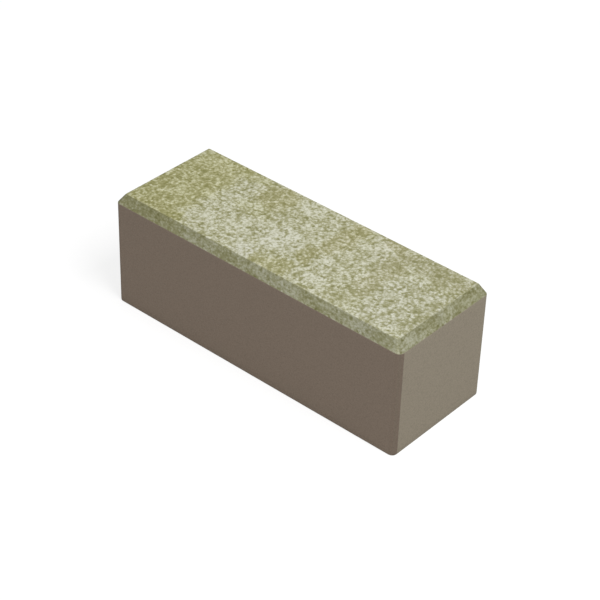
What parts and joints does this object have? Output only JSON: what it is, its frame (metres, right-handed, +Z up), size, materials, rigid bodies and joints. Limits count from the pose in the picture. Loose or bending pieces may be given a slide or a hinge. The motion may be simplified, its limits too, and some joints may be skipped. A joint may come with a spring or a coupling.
{
  "type": "concrete paver",
  "caption": "Rectangular concrete paver bar: a plain taupe-grey block whose mottled olive and cream wearing face has a bevel all round, laid on sand to surface paths and yards.",
  "frame": {"origin": "centre of the bed face, which the paver lies on", "axes": "+X along the length, +Y across the width, +Z up from the bed face to the wearing face"},
  "size_m": [0.225, 0.082, 0.08],
  "materials": {
    "pressed_concrete": "matt pressed concrete: taupe-grey sides and bed, and a granular wearing face and bevel in mottled olive green and cream"
  },
  "bodies": {
    "root": {"paver_block": "pressed_concrete"}
  },
  "joints": []
}
